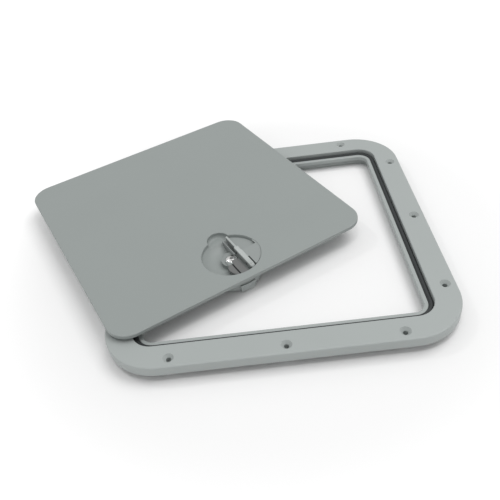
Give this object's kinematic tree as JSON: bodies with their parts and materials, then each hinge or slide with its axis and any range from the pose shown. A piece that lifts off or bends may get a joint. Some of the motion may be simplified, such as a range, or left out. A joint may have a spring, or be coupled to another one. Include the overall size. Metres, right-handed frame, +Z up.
{
  "type": "access hatch",
  "caption": "Square deck access hatch: moulded frame with countersunk screw holes, rubber seal, and a lift-off lid with a round latch cup and half-moon grip, lying across the frame.",
  "frame": {"origin": "Centre of the frame's outline at deck level, on the underside of the flange", "axes": "+X to the right along the near side of the frame, +Y to its far side, +Z up, out of the deck"},
  "size_m": [0.5009, 0.4588, 0.0301],
  "materials": {
    "moulded_plastic": "satin light grey moulded ASA",
    "latch_plastic": "satin dark grey nylon",
    "slide_plastic": "smooth acetal",
    "seal_rubber": "matt black rubber",
    "stainless": "brushed stainless steel"
  },
  "bodies": {
    "frame": {"deck_frame": "moulded_plastic", "rim_seal": "seal_rubber", "lid_panel": "moulded_plastic"},
    "latch": {"turn_hub": "latch_plastic", "latch_cam": "moulded_plastic", "clamp_screw": "stainless", "head_washer": "stainless", "thrust_washer": "slide_plastic", "cam_washer": "stainless", "lock_nut": "stainless", "hinge_pin": "stainless", "shaft_ring": "seal_rubber"},
    "grip": {"half_moon_grip": "moulded_plastic"}
  },
  "joints": [
    {"name": "latch_turn", "type": "hinge", "parent": "frame", "child": "latch", "pos_m": [-0.04878, -0.04277, 0.005], "axis": [0, 0, 1], "range_deg": [0, 90]},
    {"name": "grip_lift", "type": "hinge", "parent": "latch", "child": "grip", "pos_m": [-0.03904, -0.03766, 0.0156], "axis": [0.4639, -0.8859, 0], "range_deg": [0, 90]}
  ]
}
